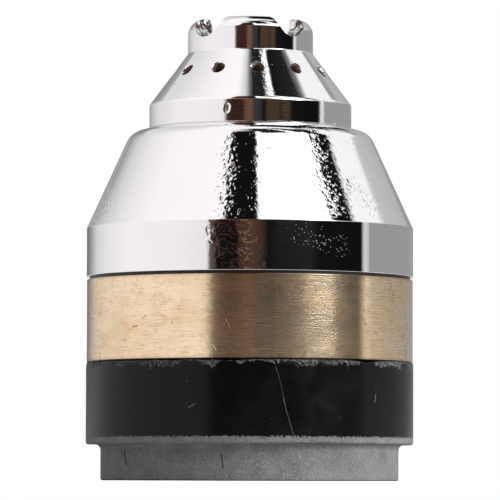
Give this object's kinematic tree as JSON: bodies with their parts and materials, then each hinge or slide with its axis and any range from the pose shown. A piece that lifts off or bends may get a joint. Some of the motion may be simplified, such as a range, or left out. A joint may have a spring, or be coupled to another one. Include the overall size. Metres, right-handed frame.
{
  "type": "plasma torch nozzle",
  "caption": "Front end of a plasma cutting torch: slotted and vented shield on a conical plated shell, brass body, black insulator, with nozzle, swirl ring and electrode inside.",
  "frame": {"origin": "centre of the insulator's flat foot, on the axis", "axes": "+Z along the axis towards the crowned nose; -Y is the side that the picture shows, with one vent 5.5 degrees to its right"},
  "size_m": [0.0509, 0.0508, 0.0717],
  "materials": {
    "chrome_plate": "bright plating with fine pits",
    "turned_brass": "turned, lightly scratched and stained",
    "black_insulator": "black moulding worn grey at its edges and foot",
    "insulating_plastic": "brown machined plastic",
    "copper": "turned copper",
    "emitter": "dull grey metal",
    "seal_rubber": "black rubber"
  },
  "bodies": {
    "root": {"crown_shield": "chrome_plate", "cap_shell": "chrome_plate", "insulating_bush": "insulating_plastic", "brass_body": "turned_brass", "insulator_sleeve": "black_insulator", "nozzle": "copper", "swirl_ring": "insulating_plastic", "electrode": "copper", "electrode_insert": "emitter", "gas_distributor": "insulating_plastic", "shield_o_ring": "seal_rubber", "shell_o_ring": "seal_rubber", "spigot_o_ring": "seal_rubber", "nozzle_o_ring": "seal_rubber", "swirl_o_ring": "seal_rubber", "electrode_o_ring": "seal_rubber", "body_o_ring": "seal_rubber"}
  },
  "joints": []
}
